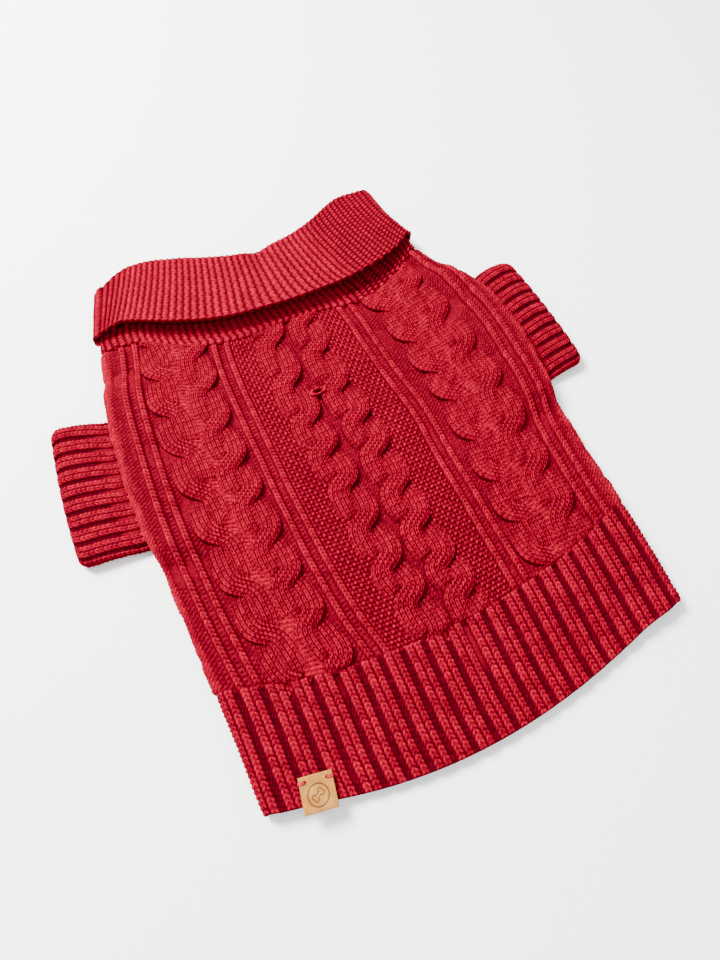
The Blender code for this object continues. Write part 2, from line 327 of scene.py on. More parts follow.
def across_of(up, girth):
    """Place across the layer, -1 to 1, of a point with that girth."""
    far, flat = np.abs(girth), flat_half(up)
    under = np.maximum(far - flat - math.pi * fold_radius(up), 0)
    return np.sign(girth) * (np.minimum(far, flat) - under) / flat


# %% [markdown]
# Hand and machine knitting is never quite even. A seeded lattice of random numbers, read smoothly, lets
# stitches and rows wander a little. The same seed gives the same sweater each time.

# %% Unevenness
def wander(u, v, cell_u, cell_v, seed):
    """Smooth noise from -1 to 1 over two coordinates, with bumps of the given cell sizes."""
    lattice = np.random.default_rng(seed).uniform(-1, 1, (64, 64))
    a, b = np.asarray(u) / cell_u, np.asarray(v) / cell_v
    i, j = np.floor(a).astype(int), np.floor(b).astype(int)
    s, t = smooth(a - i), smooth(b - j)
    corner = lattice[i % 64, j % 64], lattice[(i + 1) % 64, j % 64]
    other = lattice[i % 64, (j + 1) % 64], lattice[(i + 1) % 64, (j + 1) % 64]
    return mix(mix(corner[0], corner[1], s), mix(other[0], other[1], s), t)


# %% [markdown]
# Every knitted piece is a skin: a fine grid of points on the outside, where four columns of faces make one
# wale and two rows make one course, over a coarse inner side. A knit stitch is two slanting legs, so its
# grid lines are bent into a V. Both grids are joined at their rims into one closed shell.

# %% Grid of faces to a closed shell
INNER_EVERY = 16      # one face of the inner side spans this many faces of the outside


def spaced_ids(count, closed):
    """Places of the coarse grid lines among the fine ones."""
    last = count if closed else count - 1
    coarse = max(2, round(last / INNER_EVERY))
    ids = sorted({round(k * last / coarse) for k in range(coarse + 1)})
    return ids[:-1] if closed else ids


def rim_faces(fine, coarse_ids, coarse):
    """Triangles between a fine rim and a coarse one, which meet at the fine rim's coarse_ids."""
    faces = []
    for k in range(len(coarse) - 1):
        start, end = coarse_ids[k], coarse_ids[k + 1]
        half = (start + end) // 2
        faces += [(fine[i], fine[i + 1], coarse[k]) for i in range(start, half)]
        faces += [(fine[half], coarse[k + 1], coarse[k])]
        faces += [(fine[i], fine[i + 1], coarse[k + 1]) for i in range(half, end)]
    return faces


class Cloth:
    """Gathers the shells of one piece and makes them one mesh."""

    def __init__(self):
        self.points, self.faces, self.uvs, self.crest, self.yarn, self.count = [], [], [], [], [], 0

    def add_shell(self, outside, inside, wale, row, crest, yarn, closed=False):
        """outside, inside: rows x columns of points; wale, row: stitch coordinates.

        crest is 0 in a furrow of the cloth to 1 on a ridge; yarn is 0 between two yarns to 1 on top of one.
        Both are painted shade in the colour.
        """
        rows, columns = outside.shape[:2]
        fine = self.count + np.arange(rows * columns).reshape(rows, columns)
        row_ids, column_ids = spaced_ids(rows, False), spaced_ids(columns, closed)
        inner = inside[np.ix_(row_ids, column_ids)]
        coarse = fine[-1, -1] + 1 + np.arange(inner.shape[0] * inner.shape[1]).reshape(inner.shape[:2])
        if closed:
            fine = np.concatenate([fine, fine[:, :1]], axis=1)
            coarse = np.concatenate([coarse, coarse[:, :1]], axis=1)
            column_ids = column_ids + [columns]
            wale = np.concatenate([wale, wale[:, :1] + (wale[:, -1:] - wale[:, -2:-1]) * columns], axis=1)
            row = np.concatenate([row, row[:, :1]], axis=1)
        quads = np.stack([fine[:-1, :-1], fine[:-1, 1:], fine[1:, 1:], fine[1:, :-1]], axis=-1).reshape(-1, 4)
        uv = np.stack([wale, row], axis=-1)
        quad_uv = np.stack([uv[:-1, :-1], uv[:-1, 1:], uv[1:, 1:], uv[1:, :-1]], axis=2).reshape(-1, 4, 2)
        self.faces += quads.tolist()
        self.uvs.append(quad_uv.reshape(-1, 2))
        back = np.stack([coarse[:-1, :-1], coarse[1:, :-1], coarse[1:, 1:], coarse[:-1, 1:]], axis=-1)
        plain = back.reshape(-1, 4).tolist()
        plain += rim_faces(fine[0], column_ids, coarse[0])
        backwards = [columns - (not closed) - c for c in column_ids[::-1]]
        plain += rim_faces(fine[-1][::-1], backwards, coarse[-1][::-1])
        if not closed:
            plain += rim_faces(fine[::-1, 0], [rows - 1 - r for r in row_ids[::-1]], coarse[::-1, 0])
            plain += rim_faces(fine[:, -1], row_ids, coarse[:, -1])
        self.faces += plain
        self.uvs.append(np.zeros((sum(len(f) for f in plain), 2)))
        self.points += [outside.reshape(-1, 3), inner.reshape(-1, 3)]
        # The inner side, out of sight, gets a middling painted shade.
        self.crest += [crest.reshape(-1), np.full(inner.shape[0] * inner.shape[1], 0.4)]
        self.yarn += [yarn.reshape(-1), np.full(inner.shape[0] * inner.shape[1], 0.5)]
        self.count = coarse[-1, -1 if not closed else -2] + 1

    def add_ring(self, outside, wale, row, crest, yarn):
        """A grid that closes on itself both ways, such as a strip whose two faces are one loop of rows."""
        rows, columns = outside.shape[:2]
        ids = self.count + np.arange(rows * columns).reshape(rows, columns)
        ids = np.concatenate([ids, ids[:, :1]], axis=1)
        ids = np.concatenate([ids, ids[:1]], axis=0)
        uv = np.stack([wale, row], axis=-1)
        uv = np.concatenate([uv, 2 * uv[:, -1:] - uv[:, -2:-1]], axis=1)
        uv = np.concatenate([uv, 2 * uv[-1:] - uv[-2:-1]], axis=0)
        corners = ((slice(0, -1), slice(0, -1)), (slice(0, -1), slice(1, None)),
                   (slice(1, None), slice(1, None)), (slice(1, None), slice(0, -1)))
        self.faces += np.stack([ids[c] for c in corners], axis=-1).reshape(-1, 4).tolist()
        self.uvs.append(np.stack([uv[c] for c in corners], axis=2).reshape(-1, 2))
        self.points.append(outside.reshape(-1, 3))
        self.crest.append(crest.reshape(-1))
        self.yarn.append(yarn.reshape(-1))
        self.count += rows * columns

    def make(self, name, material):
        mesh = bpy.data.meshes.new(name)
        mesh.from_pydata(np.concatenate(self.points), [], self.faces)
        layer = mesh.uv_layers.new(name="stitches")
        layer.data.foreach_set("uv", np.concatenate(self.uvs).astype(np.float32).ravel())
        for kind, values in (("crest", self.crest), ("yarn", self.yarn)):
            shade = mesh.attributes.new(kind, "FLOAT", "POINT")
            shade.data.foreach_set("value", np.concatenate(values).astype(np.float32))
        shape = bmesh.new()
        shape.from_mesh(mesh)
        bmesh.ops.recalc_face_normals(shape, faces=shape.faces)
        shape.to_mesh(mesh)
        shape.free()
        mesh.shade_smooth()
        mesh.materials.append(material)
        print(name, "triangles:", sum(len(p.vertices) - 2 for p in mesh.polygons))
        return add_object(name, mesh)


# %% [markdown]
# A stitch shows one of two faces. The knit face is a V of two legs, and stands proud. The purl face is a
# small bar across the wale, and lies back. Ribs, ridges and moss stitch are only charts of these two. One
# function gives the height of the yarn for both, so every piece is knitted by the same hand.

# %% Height of the yarn in a stitch
LEG_DIP = 1.2         # how deep the grooves lie between the legs and between wales
ROW_DIP = 0.65        # how deep the yarn dips where one course passes into the next
BAR_RISE = 1.0        # how far a purl bar stands over its furrow
LEGS_TOUCH = 0.5      # height left in the groove between the two legs of a stitch
V_SLANT = 0.8         # a leg climbs this share of a course from the middle of its wale to the edge
PULLED = 0.12         # how far a tight or loose stitch stands off the others


def knit_yarn(wale, row):
    """1 on the legs of a knit stitch, 0 in the grooves around them; the legs nearly touch in the middle."""
    touch = LEGS_TOUCH * np.clip(1 - 4 * np.abs(wale - np.floor(wale) - 0.5), 0, 1)
    return np.maximum(np.abs(np.sin(2 * math.pi * wale)), touch), np.abs(np.sin(math.pi * row))


def uneven(wale, row):
    """A steady number from -1 to 1 for every stitch: no two are pulled quite alike."""
    return np.sin(91.7 * np.sin(12.9 * np.floor(wale) + 78.2 * np.floor(row)))


def knit_height(wale, row):
    """Height of a knit stitch, 0 at the crests."""
    leg, course = knit_yarn(wale, row)
    return -LEG_DIP * (1 - leg) - ROW_DIP * (1 - course) + PULLED * uneven(wale, row) * leg


def knit_tone(wale, row):
    """How much light the yarn of a knit stitch catches: dark beside each leg, dimmer between courses."""
    leg, course = knit_yarn(wale, row)
    return 0.05 + leg * (0.3 + 0.5 * course + 0.15 * uneven(wale, row))


def purl_yarn(wale, row):
    """Purl bumps: a high one in the middle of each stitch, a lower one between four stitches, 0 around."""
    middle = np.abs(np.sin(math.pi * wale) * np.sin(math.pi * row))
    between = np.abs(np.cos(math.pi * wale) * np.cos(math.pi * row))
    return np.maximum(middle, 0.7 * between) * (0.85 + 0.15 * uneven(wale, row))


def purl_height(wale, row):
    return -BAR_RISE * (1 - purl_yarn(wale, row))


def moss_yarn(wale, row):
    """Moss stitch: knit and purl change places at every stitch and course, so each bump stands alone."""
    bump = np.abs(np.sin(math.pi * wale)) ** 0.4 * np.abs(np.sin(math.pi * row))
    bump = bump * (0.8 + 0.2 * uneven(wale, row))
    return np.where((np.floor(wale) + np.floor(row)) % 2 > 0, bump, 0.4 * bump)


def v_shift(wale):
    """How far along the wale the grid is bent, so that faces follow the legs; in courses."""
    return V_SLANT * (np.abs(2 * (wale - np.floor(wale)) - 1) - 0.5)


# %% [markdown]
# Wool: a soft, lofty yarn with a deep warm red dye. Up close it is matt, with a halo of fine fibres that
# catches light at grazing angles (sheen) and turns the crests pinkish. Shade is painted into the colour: it
# darkens from the crests to the furrows by the crest value stored on each mesh, and by the yarn value it
# darkens in the gaps between the yarns (painted shade) and brightens on top of them (painted highlight). The
# fine plies and fuzz are bump on the stitch map.

# %% Red wool yarn
# The crest colour is the wool's red; the furrow colour is a darker red, painted shade for the furrows.
DYE_CREST, PAINTED_FURROW_SHADE = "80001C", "560011"
# The yarn value scales the colour: painted shade in the gaps, painted highlight on top of a yarn.
PAINTED_GAP_SHADE, PAINTED_YARN_HIGHLIGHT = 0.22, 1.5      # light left in the gaps between yarns, and on top of one
PLY_TURNS = 2.0


def grey(value):
    return (value, value, value, 1.0)


def red_wool():
    wool, shader = new_material("red_wool_knit")
    stitches = add_node(wool, "ShaderNodeUVMap", uv_map="stitches").outputs["UV"]
    solid = add_node(wool, "ShaderNodeTexCoord").outputs["Object"]
    crest = add_node(wool, "ShaderNodeAttribute", attribute_name="crest").outputs["Fac"]
    yarn = add_node(wool, "ShaderNodeAttribute", attribute_name="yarn").outputs["Fac"]
    # painted shade over the dye: crests bright, furrows dark, and the gaps between the yarns darker still
    ramp = add_node(wool, "ShaderNodeValToRGB", {"Fac": crest})
    set_stops(ramp, (0.0, linear(PAINTED_FURROW_SHADE)), (1.0, linear(DYE_CREST)))
    gaps = add_node(wool, "ShaderNodeValToRGB", {"Fac": yarn})
    set_stops(gaps, (0.15, grey(PAINTED_GAP_SHADE)), (0.95, grey(PAINTED_YARN_HIGHLIGHT)))
    dye_and_shade = add_node(wool, "ShaderNodeMixRGB",
                    {"Color1": ramp.outputs["Color"], "Color2": gaps.outputs["Color"]},
                    {"Fac": 1.0}, blend_type="MULTIPLY")
    # slow patches 20 mm wide, and single fibres under 1 mm
    patches = add_node(wool, "ShaderNodeTexNoise", {"Vector": solid},
                       {"Scale": 50.0, "Detail": 5.0, "Roughness": 0.7})
    fibres = add_node(wool, "ShaderNodeTexNoise", {"Vector": solid}, {"Scale": 900.0, "Detail": 3.0})
    tone = add_node(wool, "ShaderNodeMapRange", {"Value": patches.outputs["Fac"]},
                    {"From Min": 0.3, "From Max": 0.7, "To Min": 0.85, "To Max": 1.15})
    speck = add_node(wool, "ShaderNodeMapRange", {"Value": fibres.outputs["Fac"]},
                     {"From Min": 0.3, "From Max": 0.7, "To Min": 0.55, "To Max": 1.4})
    both = add_node(wool, "ShaderNodeMath", {0: tone.outputs["Result"], 1: speck.outputs["Result"]},
                    operation="MULTIPLY")
    colour = add_node(wool, "ShaderNodeHueSaturation",
                      {"Color": dye_and_shade.outputs["Color"], "Value": both.outputs["Value"]})
    wool.node_tree.links.new(colour.outputs["Color"], shader.inputs["Base Color"])
    # plies: the twist of the yarn, about two turns to a stitch
    plies = add_node(wool, "ShaderNodeTexWave", {"Vector": stitches},
                     {"Scale": PLY_TURNS, "Distortion": 1.5, "Detail": 1.0, "Detail Scale": 2.0},
                     bands_direction="DIAGONAL")
    twist = add_node(wool, "ShaderNodeBump", {"Height": plies.outputs["Fac"]},
                     {"Strength": 0.35, "Distance": 0.0003})
    fuzz = add_node(wool, "ShaderNodeBump",
                    {"Height": fibres.outputs["Fac"], "Normal": twist.outputs["Normal"]},
                    {"Strength": 0.6, "Distance": 0.0005})
    wool.node_tree.links.new(fuzz.outputs["Normal"], shader.inputs["Normal"])
    shader.inputs["Roughness"].default_value = 0.9
    shader.inputs["Specular IOR Level"].default_value = 0.02
    shader.inputs["Sheen Weight"].default_value = 0.1
    shader.inputs["Sheen Roughness"].default_value = 0.4
    shader.inputs["Sheen Tint"].default_value = linear("F00840")
    return wool


wool_knit = red_wool()

# %% [markdown]
# The back is the show side. From the left side fold to the right one its chart reads: purl ground, a ridge
# of two knit wales, a horseshoe cable, a ridge, moss stitch, two rope cables with a purl gutter between
# them, moss stitch, a ridge, a horseshoe cable, a ridge, and purl ground again. The ridges are the fixed
# lines of the design, so their courses are listed, and all the wales between them are spread evenly.

# %% Chart of the back
ROW = 2.45                    # one course, along the garment
RIDGE_UP = (52, 80, 110, 140, 175, 220, 258, 297)
RIDGE_A = (-103, -107, -110, -112, -113, -111.5, -108.5, -101.5)
RIDGE_B = (-39.5, -45, -48, -49.2, -49.8, -49.8, -49, -44)
RIDGE_C = (44.5, 45, 45.2, 45.4, 46.5, 42.5, 40.5, 38)
RIDGE_D = (105, 105, 107, 110.5, 115.5, 117.5, 113.5, 104)

SIDE_WALES = 15               # from the end of the turned-under strip to the first ridge
WALE_A = SIDE_WALES + 1.5     # middle of a ridge: a purl wale between two knit ones
WALE_B = WALE_A + 22
WALE_C = WALE_B + 40
WALE_D = WALE_C + 22
WALES = int(WALE_D + 1.5 + SIDE_WALES)
RIDGES = (WALE_A, WALE_B, WALE_C, WALE_D)
RIDGE_LINES = (RIDGE_A, RIDGE_B, RIDGE_C, RIDGE_D)
RIDGE_HALF = 6.2              # from the middle of a ridge to its side
FURROW = -2.3                 # purl ground, under the crests of the ridges
SIDE_ROLL = 2.5               # the sides roll up by this much beyond the outer ridges
SHOE_FILL = 2.0               # the ground rises along the middle of a horseshoe, where its strands part
SUNK_END = -2.6               # where the cloth of the back goes under the ribs and the collar
MOSS_LOW, MOSS_RISE = -2.6, 2.8
SHOE_WALES = ((WALE_A + WALE_B) / 2, (WALE_C + WALE_D) / 2)      # middles of the two horseshoes
COURSES = 92
NECK_NEAR = 285.0             # a first guess for the way up to the neck

# the two ropes between the middle ridges: middle lines, and where each strand comes out from behind
ROPE_WIDTH = 23.5
ROPE_UP = (52, 78, 99, 127, 155, 178, 202, 234, 270, 300)
ROPE_LEFT = (-10.5, -12.5, -15, -16, -16, -17.5, -18.5, -18, -16, -14)
ROPE_RIGHT = (14.5, 13.5, 11, 10.5, 10.5, 10.5, 8.5, 8, 9.5, 11)
ROPE_LEFT_NOTCHES = (78, 100, 127, 154, 179, 203, 234, 268)
ROPE_RIGHT_NOTCHES = (70, 89, 115, 140, 167, 191, 218, 249)

# the two horseshoes: middle lines, and the notches down their two sides
SHOE_WIDTH = 45.0
SHOE_UP = (52, 80, 110, 140, 176, 210, 245, 280)
SHOE_LEFT = (-71, -76, -79, -80.5, -81, -81, -80, -76)
SHOE_RIGHT = (74.5, 75.5, 77.5, 79.5, 82, 81.5, 79, 73)
SHOE_LEFT_OUTER = (91, 120, 152, 182, 213, 242, 270)
SHOE_LEFT_INNER = (89, 115, 141, 169, 194, 222, 252)
SHOE_RIGHT_INNER = (94, 121, 150, 181, 204, 231, 261)
SHOE_RIGHT_OUTER = (86, 115, 144, 176, 207, 238, 268)


# %% Wales and courses of the back to places on the tube
def back_girth(wale, up):
    """Place round the tube of a wale, read between the ridges and the ends of the turned-under strips."""
    end = flat_half(up) * (2 - WRAP_TO) + math.pi * fold_radius(up)
    lines, keys = [-end], [0]
    for ridge, line in zip(RIDGES, RIDGE_LINES):
        for side in (-1, 1):
            lines.append(read(RIDGE_UP, line, up) - lean(up) + side * RIDGE_HALF)
            keys.append(ridge + side * 1.5)
    lines.append(end)
    keys.append(WALES)
    girth = np.zeros_like(wale)
    for k in range(len(keys) - 1):
        share = (wale - keys[k]) / (keys[k + 1] - keys[k])
        inside = (wale >= keys[k]) & (wale <= keys[k + 1])
        girth = np.where(inside, mix(lines[k], lines[k + 1], share), girth)
    return girth


def settle(share, girth_at):
    """Distance up and girth of a share of the way from rib to neck, which each depend on the other."""
    up = mix(RIB_MIDDLE, NECK_NEAR, share)
    for _ in range(4):
        girth = girth_at(up)
        up = body_up(across_of(up, girth), share)
    return up, girth


print("wales across the back:", WALES, "courses:", COURSES)

# %% [markdown]
# The ground of the back carries the ridges and the moss stitch. Under the cables it is a plain furrow with
# wider columns, which the strands hide. It rises along the middle of each horseshoe, where the strands
# part, so that no dark hole shows between them.

# %% Ground of the back
UNDER_SHOE = 11.0             # wales of plain ground under a horseshoe
UNDER_ROPE = 7.0              # and under each of the two ropes


def ground_columns():
    """Wale coordinates of the grid lines: four to a wale, one under the cables and beneath the side folds."""
    columns = [0.25 * k for k in range(4 * WALES + 1)]
    middle = (WALE_B + WALE_C) / 2
    hidden = [(shoe, UNDER_SHOE) for shoe in SHOE_WALES]
    hidden += [(middle - 6, UNDER_ROPE), (middle + 6, UNDER_ROPE)]

    def kept(column):
        under = any(abs(column - cable) < width / 2 for cable, width in hidden)
        strip = column < 5 or column > WALES - 5
        return not (under or strip) or column % 1 == 0

    return np.array([c for c in columns if kept(c)])


def is_knit(wale):
    """1 for a wale of a ridge, 0 for the purl ground."""
    index = np.floor(wale)
    found = np.zeros_like(wale)
    for ridge in RIDGES:
        found = np.maximum(found, np.abs(np.abs(index + 0.5 - ridge) - 1) < 0.1)
    return found


def knit_share(wale):
    """The same, but a half on the line between a knit wale and a purl one."""
    eps = 1e-6
    return (is_knit(wale - eps) + is_knit(wale + eps)) / 2


def moss_share(wale):
    """1 inside the two bands of moss stitch."""
    beside = np.minimum(np.abs(wale - WALE_B - 7.5), np.abs(wale - WALE_C + 7.5))
    return (beside <= 5.55).astype(float)


def ground_relief(wale, row):
    """Height of the ground under the outside of the cloth, its crest value and its yarn value."""
    raised = smooth(knit_share(wale))
    moss = moss_share(wale) * (1 - raised)
    purl = FURROW + purl_height(wale, row)
    ribs = 0.1 + knit_height(wale, row)
    seed = moss_yarn(wale, row)
    roll = smooth(np.maximum(WALE_A - 2.5 - wale, wale - WALE_D - 2.5) / 2.5)
    lumps = roll * wander(wale, row, 1.5, 2, 8)
    from_shoe = np.minimum(*[np.abs(wale - shoe) for shoe in SHOE_WALES])
    filled = smooth((3.2 - from_shoe) / 1.5)
    plain = purl + SIDE_ROLL * roll + SHOE_FILL * filled + 0.6 * lumps
    height = mix(mix(plain, ribs, raised), MOSS_LOW + MOSS_RISE * seed, moss)
    # Painted shade in the crest and yarn values: the purl ground darker, the ridges, the side rolls and the
    # middle of each horseshoe lighter, the moss in between.
    bars = 0.85 * purl_yarn(wale, row) + 0.05 + 0.12 * roll + 0.15 * lumps + 0.3 * filled
    yarn = mix(mix(bars, knit_tone(wale, row), raised), np.clip(0.15 + 1.1 * seed, 0, 1), moss)
    level = mix(mix(0.35 + 0.55 * roll + 0.5 * filled, 1.0, raised), 0.85, moss)
    return height, level, yarn


def build_ground(cloth):
    columns, rows = ground_columns(), np.linspace(0, COURSES, 2 * COURSES + 1)
    wale, row = np.meshgrid(columns, rows)
    bend = knit_share(wale) * v_shift(wale)
    bent = np.clip(row - bend * np.minimum(1, np.minimum(row, COURSES - row)), 0, COURSES)
    sway = 0.25 * wander(wale, row, 7, 9, 1)
    up, girth = settle(bent / COURSES, lambda up: back_girth(wale, up) + sway)
    height, crest, yarn = ground_relief(wale, row)
    height = height + 0.2 * wander(wale, row, 3, 5, 2)
    height = mix(SUNK_END, height, smooth((np.minimum(row, COURSES - row) + 0.2) / 1.3))
    outside = tube_point(up, girth, -height)
    inside = tube_point(up, girth, np.full_like(up, KNIT_WALL))
    cloth.add_shell(outside, inside, wale, row, crest, yarn)


# %% [markdown]
# A cable is knitted by letting one group of wales change places with its neighbour every few courses. Each
# strand is its own ribbon here: it swings from side to side, rises where it crosses in front, and dips
# where it passes behind. Two strands, half a swing apart, make a rope, and two ropes side by side make a
# horseshoe.

# %% One strand of a cable
STRAND_WALES = 5
SKIRT = 0.12          # a narrow skirt on both sides of a strand hides the gap under its edges, in wales
SWING_SHARP = 2.2     # how quickly a strand crosses; higher is sharper
DIVE_PHASE = 0.2      # a strand goes under its neighbour within this share of the way from notch to notch
RISE_PHASE = 0.33     # and comes up again within this one


def phase_places(notches):
    """The notches with two more beyond each end, as places up the garment for whole phases."""
    pitch = (notches[-1] - notches[0]) / (len(notches) - 1)
    first, last = notches[0], notches[-1]
    return [first - 2 * pitch, first - pitch, *notches, last + pitch, last + 2 * pitch]


def strand_line(middle, notches, notch_side, swing, first):
    """Middle line of a strand: place across, up, sideways share, front share and how far it has dived."""
    places = phase_places(notches)[::-1]
    phase = np.linspace(0, len(places) - 1, 60 * len(places))
    up = read(range(len(places)), places, phase)
    swung = math.pi * (phase - first - 0.5)
    aside = notch_side * np.tanh(SWING_SHARP * np.cos(swung)) / math.tanh(SWING_SHARP)
    front = np.clip(np.sin(swung), 0, 1) ** 2
    since = (phase - first + 1) % 2 - 1
    dip = np.exp(-((since / np.where(since < 0, DIVE_PHASE, RISE_PHASE)) ** 2))
    return middle(up) + swing * aside, up, aside, front, dip


def even_steps(line, step):
    """The line's arrays again, read at even steps along its length in the plane."""
    x, up = line[:2]
    along = np.concatenate([[0], np.cumsum(np.hypot(np.diff(x), np.diff(up)))])
    at = np.arange(0, along[-1], step)
    return [np.interp(at, along, values) for values in line], at


CROWN = 2.3           # how far the edges of a strand lie under its middle
STRAND_LEVEL = 0.7    # crest of a strand at rest over the crests of the ridges
FRONT_RISE = 1.8      # how much higher it is where it crosses in front, on the side that overlaps
BEHIND_DIP = 3.2      # how much lower it is where it passes behind
HIDDEN = -3.4         # no strand goes deeper than the wall of the back


def add_strand(cloth, line, width, notch_side, joined):
    """A ribbon of knit wales along a line. joined: a horseshoe goes on beside it, away from the notches."""
    (x, up, aside, front, dip), along = even_steps(line, ROW / 2)
    across = across_at(x, up)
    seen = (up > rib_line(across) - 1) & (up < neck_line(across) + 2)
    x, up, aside, front, dip, along = [values[seen] for values in (x, up, aside, front, dip, along)]
    tilt = np.arctan2(np.gradient(x), -np.gradient(up)) * 0.6
    inner_wales = np.linspace(0, STRAND_WALES, 4 * STRAND_WALES + 1)
    wales = np.concatenate([[-SKIRT], inner_wales, [STRAND_WALES + SKIRT]])
    wale, row = np.meshgrid(wales, along / ROW)
    side = 2 * wale / STRAND_WALES - 1
    offset = side * width / 2
    slip = v_shift(wale) * ROW
    turned = tilt[:, None]
    px = x[:, None] + offset * np.cos(turned) + slip * np.sin(turned)
    pup = up[:, None] + offset * np.sin(turned) - slip * np.cos(turned)
    toward = side * notch_side
    front, dip, aside = front[:, None], dip[:, None], aside[:, None] * notch_side
    # away from the notches the edge lies under nothing and over its neighbour, so it hardly drops
    outer = mix(0.75, 0.25 if joined else 1.0, smooth(0.5 - aside / 2))
    share = np.where(toward > 0, 1.0, mix(outer, 0.2, front))
    if joined:
        dip = dip * (1 - 0.65 * smooth((1 - toward) / 2))
    height = STRAND_LEVEL + FRONT_RISE * front * smooth((toward + 1) / 2) - BEHIND_DIP * dip
    height = height - CROWN * np.abs(side) ** 3 * share
    # Painted shade: the lower the strand's surface, the darker its colour, so its sides and dives look
    # shaded.
    crest = np.clip((height + 2.0) / 2.3, 0, 1)
    height = height + knit_height(wale, row) + 0.2 * wander(wale, row, 2, 4, 3)
    place_across = across_at(px, pup)
    from_ends = np.minimum(pup - rib_line(place_across) + 1, neck_line(place_across) + 2 - pup)
    height = np.maximum(mix(SUNK_END, height, smooth(from_ends / 4)), HIDDEN)
    skirt = (wale < 0) | (wale > STRAND_WALES)
    height = np.where(skirt, np.minimum(height - 1.2, FURROW - 0.5), height)
    base = top_height(pup, place_across) + crease_height(px, pup)
    outside = place(px, pup, base + height)
    inside = place(px, pup, base + np.minimum(height - 0.5, FURROW - 0.9))
    # The skirts get yarn value 0: painted shade, near black, under the strand's edges.
    cloth.add_shell(outside, inside, wale, row, crest, np.where(skirt, 0, knit_tone(wale, row)))


# %% The two ropes and two horseshoes
OVERLAP = 1.14        # strands are this much wider than their share of the cable


def add_rope(cloth, middle, notches, notch_side, width, joined=False):
    for first in (0, 1):
        line = strand_line(middle, notches, notch_side, width / 4, first)
        add_strand(cloth, line, width / 2 * OVERLAP, notch_side, joined)


def line_beside(keys, line, aside=0.0):
    """The middle of a rope as a function of the way up: a line of the chart, moved aside."""
    return lambda up: read(keys, line, up) + aside


def build_cables(cloth):
    add_slit(cloth)
    for line, notches in ((ROPE_LEFT, ROPE_LEFT_NOTCHES), (ROPE_RIGHT, ROPE_RIGHT_NOTCHES)):
        add_rope(cloth, line_beside(ROPE_UP, line), notches, 1, ROPE_WIDTH)
    for line, outer, inner, out in ((SHOE_LEFT, SHOE_LEFT_OUTER, SHOE_LEFT_INNER, -1),
                                    (SHOE_RIGHT, SHOE_RIGHT_OUTER, SHOE_RIGHT_INNER, 1)):
        for notches, way in ((outer, out), (inner, -out)):
            add_rope(cloth, line_beside(SHOE_UP, line, way * SHOE_WIDTH / 4), notches, way, SHOE_WIDTH / 2,
                     joined=True)


# %% [markdown]
# Between the ropes the knitter left what seems to be a small slit for the ring of a leash, with a firm yarn
# edge. It is a rimmed hollow here, painted dark inside as shade, and isn't cut through.

# %% Leash slit
SLIT_ACROSS, SLIT_UP, SLIT_LONG, SLIT_WIDE = -4.3, 216.6, 4.2, 1.9
SLIT_PROFILE = ((1.5, -1.6), (1.35, 0.6), (1.1, 1.2), (0.85, 1.0), (0.7, -0.4), (0.6, -1.6), (0.1, -1.8))


def add_slit(cloth):
    turn = np.linspace(0, 2 * math.pi, 33)[:-1]
    grow = np.array([p[0] for p in SLIT_PROFILE])[:, None]
    height = np.array([p[1] for p in SLIT_PROFILE])[:, None] + 0.15 * np.cos(8 * turn)[None, :]
    x = SLIT_ACROSS + SLIT_LONG * grow * np.cos(turn)
    up = SLIT_UP + SLIT_WIDE * grow * np.sin(turn)
    base = top_height(up, across_at(x, up)) + crease_height(x, up)
    # Painted shade: the hollow inside the rim gets crest and yarn 0, so it is dark.
    yarn = np.where(height > -1, 0.75 + 0.25 * np.cos(8 * turn), 0.0) * np.ones_like(x)
    crest = np.where(height > -1, 0.9, 0.0) * np.ones_like(x)
    wale, row = np.broadcast_arrays(turn[None, :] * 2, grow * 2)
    outside = place(x, up, base + height)
    inside = place(x, up, base + np.minimum(height, -3.0) - 0.2)
    cloth.add_shell(outside, inside, np.array(wale), np.array(row), crest, yarn, closed=True)


# %% Knit the back
def knit(name, build):
    cloth = Cloth()
    build(cloth)
    return cloth.make(name, wool_knit)


back = knit("knit_back", build_ground)
cables = knit("knit_cables", build_cables)

# %% [markdown]
# The hem is a tube of two by two rib: two knit wales stand proud, two purl wales make a deep furrow.
# Ribbing pulls in and stretches, which keeps the sweater's edge on the dog. The loose cast-off edge bulges
# a little at each rib.

# %% Ribbed cloth
RIB_WALES = 4
RIB_DEPTH = -2.7
RIB_SPREAD = 1.55         # widening of a knit wale; what it takes is lost by the purl ones


def rib_relief(wale, row):
    """Height, yarn value and knit share of two by two rib: wales 0 and 1 of each four are knit."""
    from_crest = np.abs((wale + 1) % RIB_WALES - 2)
    knit = smooth((1.15 - from_crest) / 0.3)
    height = mix(RIB_DEPTH + 0.4 * purl_height(wale, row), knit_height(wale, row) - 0.7 * from_crest**2, knit)
    yarn = mix(0.7 * purl_yarn(wale, row), knit_tone(wale, row), knit)
    return height, yarn, knit


def rib_spread(wale):
    """The knit wales of a rib spread out and the purl ones close up."""
    rib = np.floor((wale + 1) / RIB_WALES) * RIB_WALES - 1
    inside = wale - rib
    return rib + np.where(inside < 2, inside * RIB_SPREAD, 4 - (4 - inside) * (2 - RIB_SPREAD))


def ribbed_tube(ribs, courses):
    """Wale, row and relief of a ribbed tube's grid, with each point's share of its length and round."""
    columns = np.linspace(0, ribs * RIB_WALES, 16 * ribs + 1)[:-1]
    wale, row = np.meshgrid(columns, np.linspace(0, courses, 2 * courses + 1))
    relief = rib_relief(wale + 1, row)
    ends = np.minimum(1, np.minimum(row, courses - row))
    share = np.clip(row - relief[-1] * v_shift(wale) * ends, 0, courses) / courses
    return wale, row, relief, share, rib_spread(wale) / (ribs * RIB_WALES) * 2 - 1


# %% Ribbed hem
HEM_RIBS = 42
HEM_COURSES = 24
RIB_HEAD = 2.0            # the ribs begin this far over the ends of the back's wales


